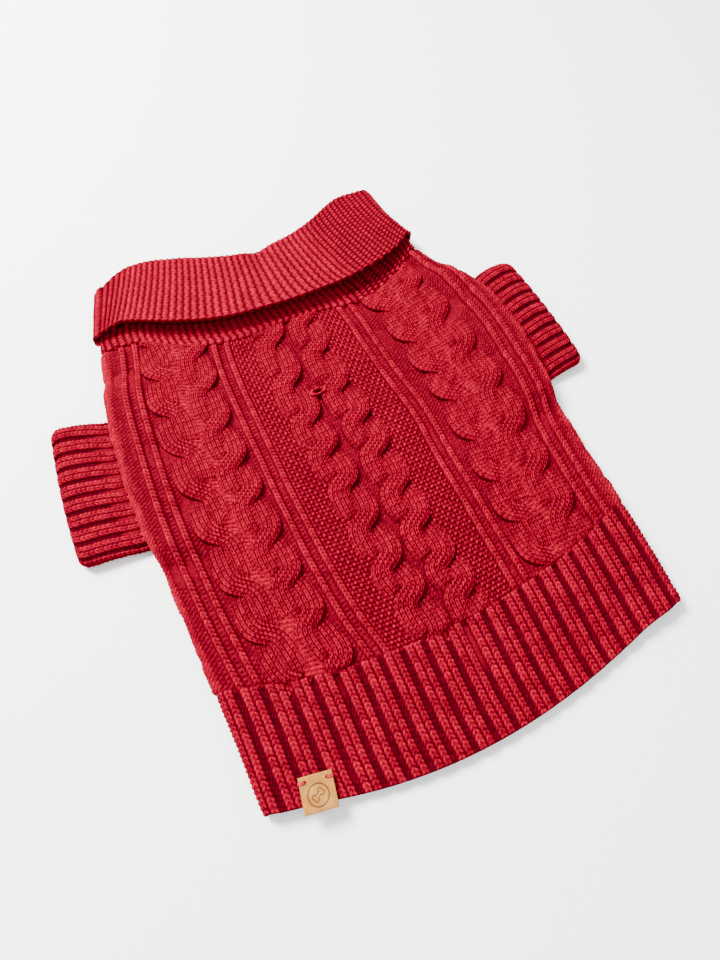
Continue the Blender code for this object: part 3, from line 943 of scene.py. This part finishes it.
def build_hem(cloth):
    # The knit share serves as the crest value, so the purl furrows of the rib take the painted furrow shade.
    wale, row, (height, yarn, crest), share, round_share = ribbed_tube(HEM_RIBS, HEM_COURSES)
    up = mix(10.0, 60.0, share)
    for _ in range(4):
        girth = round_share * (2 * flat_half(up) + math.pi * fold_radius(up))
        across = across_of(up, girth)
        up = mix(hem_line(across), rib_line(across) + RIB_HEAD, share)
    lip = smooth(1 - row / 1.5)
    head = smooth((row - HEM_COURSES + 1.5) / 1.5)
    height = height * (1 - 0.5 * lip) * (1 - 0.7 * head) - 0.9 * lip**2 - 1.6 * head**2
    height = height + 0.15 * wander(wale, row, 3, 4, 4)
    outside = tube_point(up, girth, -height)
    inside = tube_point(up, girth, np.full_like(up, KNIT_WALL))
    cloth.add_shell(outside, inside, wale, row, crest, yarn, closed=True)


hem = knit("knit_hem", build_hem)

# %% [markdown]
# The sleeves are short tubes of the same rib, pressed flat. Their ribs run from the armhole to the cuff.

# %% Sleeves
SLEEVE_SHARE = (0, 0.25, 0.45, 0.6, 0.8, 0.94, 1)
SLEEVE_LOW = (160.5, 161, 162, 163.5, 165, 166, 169)
SLEEVE_HIGH = {
    -1: (253, 253, 254, 256.5, 259.5, 260.5, 257),
    1: (254, 255, 257.5, 260, 261.5, 260.5, 257),
}
SLEEVE_HEIGHT = (5.6, 5.6, 5.8, 7.4, 8.6, 8.6, 8.0)
CUFF_OUT = {-1: 166.4, 1: 158.5}
CUFF_SLANT = {-1: 5.0, 1: 0.0}
CUFF_BULGE = 1.8          # the middle of a cuff is further out than its corners
SLEEVE_RIBS = 20
SLEEVE_COURSES = 24


def wrap_edge(up, side):
    return lean(up) + side * WRAP_TO * flat_half(up)


def sleeve_point(share, round_share, side, depth):
    """A point of a flattened sleeve; round_share goes once round it, from the middle of its top layer."""
    low_edge, high_edge = read(SLEEVE_SHARE, SLEEVE_LOW, share), read(SLEEVE_SHARE, SLEEVE_HIGH[side], share)
    tall = read(SLEEVE_SHARE, SLEEVE_HEIGHT, share)
    radius = tall / 2
    flat = (high_edge - low_edge) / 2 - radius
    girth = round_share * (2 * flat + math.pi * radius)
    way, far = np.sign(girth), np.abs(girth)
    angle = np.clip((far - flat) / radius, 0, math.pi)
    under = np.maximum(far - flat - math.pi * radius, 0)
    reach = radius - depth
    up = (low_edge + high_edge) / 2 + way * (np.minimum(far, flat) + reach * np.sin(angle) - under)
    armhole = wrap_edge(up, side) + side * SEAM / 2
    level = (up - low_edge) / (high_edge - low_edge)
    cuff = side * (CUFF_OUT[side] - CUFF_SLANT[side] * level + 4 * CUFF_BULGE * level * (1 - level))
    return place(mix(armhole, cuff, share), up, radius + reach * np.cos(angle))


def build_sleeve(side):
    def build(cloth):
        # The knit share serves as the crest value, so the purl furrows of the rib take the painted furrow
        # shade.
        wale, row, (height, yarn, crest), share, round_share = ribbed_tube(SLEEVE_RIBS, SLEEVE_COURSES)
        lip = smooth((row - SLEEVE_COURSES + 1.5) / 1.5)
        height = height * (1 - 0.4 * lip) * 0.85 - 0.6 * lip**2 + 0.15 * wander(wale, row, 3, 4, 5 + side)
        outside = sleeve_point(share, round_share, side, -height)
        inside = sleeve_point(share, round_share, side, SLEEVE_WALL)
        cloth.add_shell(outside, inside, wale, row, crest, yarn, closed=True)

    return build


sleeve_left = knit("knit_sleeve_left", build_sleeve(-1))
sleeve_right = knit("knit_sleeve_right", build_sleeve(1))

# %% [markdown]
# The belly panel lies on the floor, between the turned-under strips of the back. It is plain knitting.

# %% Belly panel
BELLY_WALES, BELLY_COURSES = 70, 80


def build_belly(cloth):
    across_steps = np.linspace(0, BELLY_WALES, 2 * BELLY_WALES + 1)
    wale, row = np.meshgrid(across_steps, np.linspace(0, BELLY_COURSES, 2 * BELLY_COURSES + 1))
    up = body_up(mix(-WRAP_TO, WRAP_TO, wale / BELLY_WALES), row / BELLY_COURSES)
    x = mix(wrap_edge(up, -1) + SEAM, wrap_edge(up, 1) - SEAM, wale / BELLY_WALES)
    height = 0.5 + 0.5 * np.cos(2 * math.pi * wale) * 0.5 + 0.25 * np.abs(np.cos(math.pi * row))
    lift = crease_height(x, up, UNDER_CREASES)
    outside = place(x, up, height - 0.5 + lift)
    inside = place(x, up, np.full_like(up, BELLY_WALL))
    even = np.full_like(up, 0.6)
    cloth.add_shell(outside, inside, wale, row, even, even)


belly = knit("knit_belly", build_belly)

# %% [markdown]
# The collar is one strip, sewn to the neck: it stands up, folds over and falls back on itself, and springs
# up a little on the back of the neck. It is knitted in a fine moss rib: each rib is a pair of wales in
# which a bump sits left, then right, and deep lines part the ribs. Both its faces are one closed loop of
# rows, so it has a true thickness at the free edge and inside the neck.

# %% Path of the collar's cloth
STAND_TOP, FALL_DROP, FALL_RISE, FALL_RISE_END = 11.0, 3.6, 8.5, 5.0
EDGE_LIFT, UNDER_SETBACK = 1.2, 10.0
PUCKER_AT, PUCKER_WIDTH, PUCKER_DEPTH = 0.08, 0.07, 3.0
SLIDE_ACROSS = (-1, -0.85, -0.5, -0.1, 0.1, 0.3, 0.6, 1)
SLIDE = (0, -6, -9, -6, 1, 5, 5, 2)      # how far the ribs have slid sideways at the free edge


def collar_lines(across, turn):
    """The numbers that shape the strip at each place round the neck."""
    on_top = mix(FALL_RISE, FALL_RISE_END, smooth((np.abs(across) - 0.6) / 0.4))
    rise = mix(FALL_DROP, on_top, smooth(1 - turn / 120))
    seam = neck_line(across) + SEAM / 2
    crest = read(NECK_ACROSS, NECK_FOLD, across) - rise / 2 - COLLAR_WALL / 2
    turned = smooth(turn / 90)
    free = read(NECK_ACROSS, NECK_FREE, across)
    free = mix(free, np.maximum(free, seam + UNDER_SETBACK), turned)
    lift = EDGE_LIFT * (1 - turned) * smooth((1 - np.abs(across)) / 0.3)
    return rise, seam, crest, free, lift, turned


def stand_place(lines, share):
    rise, seam, crest, free, lift, turned = lines
    return mix(seam, crest, share), 0 * seam, np.ones_like(seam), 0 * seam


def fold_place(lines, share):
    rise, seam, crest, free, lift, turned = lines
    angle = math.pi * (share - 0.5)
    radius = rise / 2
    return crest + radius * math.cos(angle), radius * (1 + math.sin(angle)), -math.sin(angle), math.cos(angle)


def fall_place(lines, share):
    rise, seam, crest, free, lift, turned = lines
    along_up, along_out = free - crest, 2 * lift * share
    length = np.hypot(along_up, along_out)
    return mix(crest, free, share), rise + lift * share**2, along_up / length, along_out / length


def collar_point(across, turn, up, outward, slide):
    """Puts a point of the strip in place round the flattened neck."""
    seam = neck_line(across)
    climb = smooth((up - seam) / (read(NECK_ACROSS, NECK_FOLD, across) - seam))
    off_floor = smooth((up - seam) / (0.8 * UNDER_SETBACK))
    low_edge = COLLAR_WALL / 2 + FALL_DROP * off_floor
    side_high = mix(top_height(seam, 1.0) - COLLAR_WALL / 2, STAND_TOP, climb)
    high_edge = mix(top_height(seam, across) - COLLAR_WALL / 2, STAND_TOP, climb)
    radius = (side_high - low_edge) / 2
    x = lean(up) + across * (half_width(up) - COLLAR_WALL / 2 - radius) + slide
    pucker = PUCKER_DEPTH * np.exp(-(((across - PUCKER_AT) / PUCKER_WIDTH) ** 2))
    angle = np.radians(turn)
    reach = radius + outward
    on_top = high_edge + outward * (1 - pucker / FALL_RISE * climb)
    on_side = (side_high + low_edge) / 2 + reach * np.cos(angle)
    z = np.where(turn == 0, on_top, np.where(turn == 180, low_edge - outward, on_side))
    return place(x + np.sign(across) * np.where(turn > 0, reach, 0) * np.sin(angle), up, z)


# %% Knit the collar
COLLAR_RIBS = 49          # on the top layer, 4.3 mm apart
SIDE_RIBS = 4             # round each side fold
UNDER_RIBS = 45           # on the bottom layer
COLLAR_COURSE = 2.3
FALL_COURSES, FOLD_COURSES, SHOWN_COURSES = 21, 8, 7
RIB_SWING = 0.12          # each rib zigzags by this share of its width
LINE_DEPTH = 1.6          # depth of the lines between the ribs on the flat
TIGHT_DEPTH = 0.9         # and round the turns
HIDDEN_DEPTH = 0.6        # and out of sight
RIM_SWELL = 0.2           # the free edge is thicker by this share


def collar_columns():
    """Place across, turn and rib number of each grid line round the neck."""
    top = [(a, 0.0, (a + 1) / 2 * COLLAR_RIBS) for a in np.linspace(-1, 1, 6 * COLLAR_RIBS + 1)]
    turns = np.linspace(0, 180, 6 * SIDE_RIBS + 1)[1:]
    right = [(1.0, t, COLLAR_RIBS + t / 180 * SIDE_RIBS) for t in turns]
    start = COLLAR_RIBS + SIDE_RIBS
    back_again = np.linspace(1, -1, 3 * UNDER_RIBS + 1)[1:]
    under = [(a, 180.0, start + (1 - a) / 2 * UNDER_RIBS) for a in back_again]
    start += UNDER_RIBS
    left = [(-1.0, 180 - t, start + t / 180 * SIDE_RIBS) for t in turns[:-1]]
    return [np.array(values) for values in zip(*(top + right + under + left))]


def rib_bumps(rib, row, loose):
    """Moss rib, 0 in the lines to 1 on the ribs; where the cloth is loose its bumps stand apart."""
    swung = rib + RIB_SWING * np.cos(math.pi * row)
    tight = np.abs(np.sin(math.pi * swung)) ** 0.8 * (0.65 + 0.35 * np.abs(np.sin(math.pi * row)))
    half = np.floor(rib) % 2 / 2
    apart = np.abs(np.sin(math.pi * rib)) ** 0.7 * np.abs(np.sin(math.pi * (row + half)))
    return mix(tight, apart, loose) * (0.9 + 0.1 * uneven(rib, row))


def build_collar(cloth):
    across, turn, rib = collar_columns()
    lines = collar_lines(across, turn)
    slide = read(SLIDE_ACROSS, SLIDE, across) * (1 - lines[5])
    loose = np.clip(smooth((across - 0.3) / 0.3) + smooth((-0.75 - across) / 0.2), 0, 1) * 0.8
    stand_length = np.mean(lines[2] - lines[1])
    shown = SHOWN_COURSES * COLLAR_COURSE / stand_length
    # path function, its share, which face (1: outside of the stand, -1: top of the fall), fine, course number
    plan = [(stand_place, mix(0, shown, k / 14), 1, True, k / 2) for k in range(15)]
    plan += [(stand_place, mix(shown, 1, k / 4), 1, False, 7 + 2 * k) for k in range(1, 5)]
    plan += [(fold_place, k / 4, 1, False, 16 + k) for k in range(1, 5)]
    plan += [(fall_place, k / 6, 1, False, 20 + k) for k in range(1, 7)]
    plan += [(fall_place, 1 - k / (2 * FALL_COURSES), -1, True, k / 2) for k in range(2 * FALL_COURSES + 1)]
    plan += [(fold_place, 1 - k / (2 * FOLD_COURSES), -1, True, FALL_COURSES + k / 2)
             for k in range(1, 2 * FOLD_COURSES + 1)]
    plan += [(stand_place, 1 - k / 8, -1, False, FALL_COURSES + FOLD_COURSES + 2 * k) for k in range(1, 9)]
    rows = []
    for path, share, face, fine, course in plan:
        up, outward, along_up, along_out = path(lines, share)
        bumps = rib_bumps(rib, course, loose)
        turning = np.sin(np.radians(turn)) + (path is fold_place)
        relief = mix(LINE_DEPTH, TIGHT_DEPTH, np.clip(turning, 0, 1)) if fine else HIDDEN_DEPTH
        relief = relief * (1 - bumps) + 0.15 * wander(rib, course, 3, 4, 9)
        edge = max(0.0, (share - 0.95) / 0.05) if path is fall_place else 0.0
        half = COLLAR_WALL / 2 * (1 + RIM_SWELL * edge) - relief * (1 - RIM_SWELL * edge)
        up = up - face * along_out * half
        outward = outward + face * along_up * half
        if path is stand_place and share == 0:
            up, outward = up - 1.0, outward - 1.0
        fallen = {stand_place: 0.0, fold_place: 0.0, fall_place: share}[path]
        points = collar_point(across, turn, up, outward, slide * fallen**1.5)
        # Painted shade: the rows out of sight, inside the fold, under the fall and inside the neck, are
        # darker, and the lines between the ribs darker by the yarn value.
        crest = np.full_like(rib, 0.9 if fine else 0.4)
        yarn = np.clip(bumps, 0, 1)
        rows.append((points, rib, np.full_like(rib, course), crest, yarn))
    cloth.add_ring(*[np.stack(values) for values in zip(*rows)])


collar = knit("knit_collar", build_collar)

# %% [markdown]
# The label is a square of vegetable-tanned cowhide, die-cut, with two punched holes and a pressed ring
# round a small bone. Pressing darkens leather, and its fine grain shows as a slight mottle. It starts as a
# grid, gets its press marks by moving the grid's points, its thickness by Solidify, and its holes by a
# Boolean.

# %% Tan leather
HIDE_PALE, HIDE_DEEP, HIDE_PRESSED = "A86E20", "8C5818", "462609"


def tan_leather():
    hide, shader = new_material("tan_leather")
    solid = add_node(hide, "ShaderNodeTexCoord").outputs["Object"]
    darkened = add_node(hide, "ShaderNodeAttribute", attribute_name="darkened").outputs["Fac"]
    grain = add_node(hide, "ShaderNodeTexNoise", {"Vector": solid}, {"Scale": 1800.0, "Detail": 4.0})
    mottle = add_node(hide, "ShaderNodeTexNoise", {"Vector": solid}, {"Scale": 220.0, "Detail": 3.0})
    tone = add_node(hide, "ShaderNodeValToRGB", {"Fac": mottle.outputs["Fac"]})
    set_stops(tone, (0.35, linear(HIDE_DEEP)), (0.7, linear(HIDE_PALE)))
    colour = add_node(hide, "ShaderNodeMixRGB", {"Fac": darkened, "Color1": tone.outputs["Color"]},
                      {"Color2": linear(HIDE_PRESSED)})
    bump = add_node(hide, "ShaderNodeBump", {"Height": grain.outputs["Fac"]},
                    {"Strength": 0.3, "Distance": 0.0001})
    hide.node_tree.links.new(colour.outputs["Color"], shader.inputs["Base Color"])
    hide.node_tree.links.new(bump.outputs["Normal"], shader.inputs["Normal"])
    shader.inputs["Roughness"].default_value = 0.5
    shader.inputs["Specular IOR Level"].default_value = 0.3
    return hide


# %% Label
LABEL_SIDE, LABEL_THICK, LABEL_CLEAR = 16.2, 1.6, 0.6
LABEL_ACROSS, LABEL_UP, LABEL_TURN = -94.0, 12.0, -10.6
HOLE_R, HOLE_ACROSS, HOLE_UP = 0.9, 5.4, 5.5
RING_R, RING_CENTRE_UP, PRESS_WIDTH, PRESS_DEPTH = 4.9, -1.2, 0.35, 0.3
BONE_LONG, BONE_THICK, KNOB_R, BONE_TURN = 4.0, 0.75, 0.95, math.radians(40)


def label_matrix():
    """From the label's own millimetres to the frame: on the hem, tilted and turned with it."""
    ends = [LABEL_ACROSS + side * LABEL_SIDE / 2 for side in (-1, 1)]
    up = np.array(LABEL_UP, float)
    left, right = [float(top_height(up, (end - lean(up)) / half_width(up))) for end in ends]
    centre = place(LABEL_ACROSS, LABEL_UP, (left + right) / 2 + LABEL_CLEAR + LABEL_THICK / 2)
    turn = Matrix.Rotation(math.radians(LABEL_TURN), 4, "Z")
    tilt = Matrix.Rotation(math.atan2(left - right, LABEL_SIDE), 4, "Y")
    return Matrix.Translation(centre) @ turn @ tilt @ Matrix.Scale(MM, 4)


def bone_distance(x, y):
    """Distance to the outline of a small bone, negative inside it."""
    a = x * math.cos(BONE_TURN) + y * math.sin(BONE_TURN)
    b = y * math.cos(BONE_TURN) - x * math.sin(BONE_TURN)
    half = BONE_LONG / 2
    bar = math.hypot(max(abs(a) - half, 0), b) - BONE_THICK
    knob = math.hypot(abs(a) - half, abs(b) - 0.8 * KNOB_R) - KNOB_R
    return min(bar, knob)


def press(x, y):
    """Depth and darkness of the press marks at a point of the label, 0 to 1."""
    ring = abs(math.hypot(x, y - RING_CENTRE_UP) - RING_R)
    bone = abs(bone_distance(x, y - RING_CENTRE_UP))
    return math.exp(-((min(ring, bone * 1.3) / PRESS_WIDTH) ** 2))


def select_only(piece):
    bpy.ops.object.select_all(action="DESELECT")
    piece.select_set(True)
    bpy.context.view_layer.objects.active = piece


def apply_modifiers(piece):
    select_only(piece)
    for modifier in list(piece.modifiers):
        bpy.ops.object.modifier_apply(modifier=modifier.name)


def add_label():
    bpy.ops.mesh.primitive_grid_add(x_subdivisions=110, y_subdivisions=110, size=LABEL_SIDE)
    label = bpy.context.object
    label.name = "leather_label"
    half = LABEL_SIDE / 2
    for vertex in label.data.vertices:
        x, y = vertex.co.x, vertex.co.y
        rim = max(abs(x), abs(y)) - (half - 0.5)
        vertex.co.z = LABEL_THICK / 2 - PRESS_DEPTH * press(x, y) - 0.25 * max(0, rim / 0.5) ** 2
    wall = label.modifiers.new("thickness", "SOLIDIFY")
    wall.thickness, wall.offset = LABEL_THICK * 0.9, -1.0
    apply_modifiers(label)
    for side in (-1, 1):
        bpy.ops.mesh.primitive_cylinder_add(vertices=32, radius=HOLE_R, depth=9,
                                            location=(side * HOLE_ACROSS, HOLE_UP, 0))
        punch = bpy.context.object
        cut = label.modifiers.new("hole", "BOOLEAN")
        cut.operation, cut.object = "DIFFERENCE", punch
        apply_modifiers(label)
        bpy.data.objects.remove(punch)
    darkened = label.data.attributes.new("darkened", "FLOAT", "POINT")
    top = LABEL_THICK * 0.1
    # The underside gets a flat 0.35 of the darker colour.
    marks = [press(v.co.x, v.co.y) if v.co.z > top else 0.35 for v in label.data.vertices]
    darkened.data.foreach_set("value", marks)
    label.data.transform(label_matrix())
    label.data.materials.append(tan_leather())
    label.data.shade_smooth()
    label.data.set_sharp_from_angle(angle=math.radians(35))
    return label


label = add_label()

# %% [markdown]
# Two doubled red threads hold the label: each comes up through a hole and goes down over the nearer side.

# %% Label threads
THREAD_R = 0.3


def cotton_thread():
    thread, shader = new_material("red_thread")
    solid = add_node(thread, "ShaderNodeTexCoord").outputs["Object"]
    twist = add_node(thread, "ShaderNodeTexWave", {"Vector": solid}, {"Scale": 900.0, "Distortion": 1.0},
                     bands_direction="DIAGONAL")
    tone = add_node(thread, "ShaderNodeValToRGB", {"Fac": twist.outputs["Fac"]})
    set_stops(tone, (0.0, linear("8C0010")), (1.0, linear("B4001C")))
    thread.node_tree.links.new(tone.outputs["Color"], shader.inputs["Base Color"])
    shader.inputs["Roughness"].default_value = 0.6
    return thread


def add_threads():
    half, top = LABEL_SIDE / 2, LABEL_THICK / 2
    curve = bpy.data.curves.new("label_threads", "CURVE")
    curve.dimensions = "3D"
    curve.bevel_depth, curve.bevel_resolution, curve.use_fill_caps = THREAD_R, 3, True
    for side in (-1, 1):
        for strand in (-1, 1):
            up = HOLE_UP + strand * THREAD_R * 1.05
            route = [(HOLE_ACROSS, -0.6), (HOLE_ACROSS, top - 0.1), (HOLE_ACROSS + 0.5, top + 0.32),
                     (half - 0.4, top + 0.32), (half + 0.25, top - 0.1), (half + 0.3, -top)]
            spline = curve.splines.new("BEZIER")
            spline.bezier_points.add(len(route) - 1)
            for point, (out, height) in zip(spline.bezier_points, route):
                point.co = (side * out, up, height)
                point.handle_left_type = point.handle_right_type = "AUTO"
    select_only(add_object("label_threads", curve))
    bpy.ops.object.convert(target="MESH")
    threads = bpy.context.object
    threads.data.transform(label_matrix())
    threads.data.materials.append(cotton_thread())
    threads.data.shade_smooth()
    return threads


threads = add_threads()

# %% Hand the pieces to the frame
for piece, node in ((back, "back_panel"), (hem, "hem_rib"), (belly, "belly_panel"),
                    (sleeve_left, "sleeve_left"), (sleeve_right, "sleeve_right"), (collar, "collar")):
    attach(piece, "root")
    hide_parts(node)
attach(cables, "root")
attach(label, "root")
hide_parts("label")
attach(threads, "root")

# %% [markdown]
# Every knitted piece is a sheet, and a tube is given all round. Its flat size comes from the garment as it
# lies, because knitting is made to shape on the needles. These sizes are approximate: the back counts one
# side fold, it and the belly are measured where they are shortest, and the other lengths are round numbers.

# %% Flat sizes of the sheets
BODY_FROM, BODY_TO = 56, 284      # where the widths of back and belly are averaged
TURN_RADIUS = 7                   # allowed at each side fold of hem and collar
COLLAR_UP, COLLAR_UNDER = 320.0, 95
HEM_UP, HEM_LONG, COLLAR_LONG = 30.0, 56.0, 118.0
SLEEVE_LONG = {-1: 56.0, 1: 50.0}


def flat_sizes():
    """Width and length of each piece laid out flat, in millimetres."""
    up = np.linspace(BODY_FROM, BODY_TO, 60)
    whole = 2 * flat_half(up) + math.pi * fold_radius(up)
    turned = (1 - WRAP_TO) * flat_half(up)
    tall = float(neck_line(0.5) - rib_line(0.5))
    ring = 2 * float(flat_half(np.array(COLLAR_UP))) + 2 * COLLAR_UNDER + math.pi * TURN_RADIUS
    low = float(read(SLEEVE_SHARE, SLEEVE_LOW, 0.5))
    left, right = (2 * (float(read(SLEEVE_SHARE, SLEEVE_HIGH[side], 0.5)) - low) for side in (-1, 1))
    return {
        "knit_back": (float(np.mean(whole + 2 * turned)), tall),
        "knit_hem": (4 * float(flat_half(np.array(HEM_UP))) + 2 * math.pi * TURN_RADIUS, HEM_LONG),
        "knit_sleeve_left": (left, SLEEVE_LONG[-1]),
        "knit_sleeve_right": (right, SLEEVE_LONG[1]),
        "knit_belly": (2 * WRAP_TO * float(np.mean(flat_half(up))), tall),
        "knit_collar": (ring, COLLAR_LONG),
    }


sizes = flat_sizes()
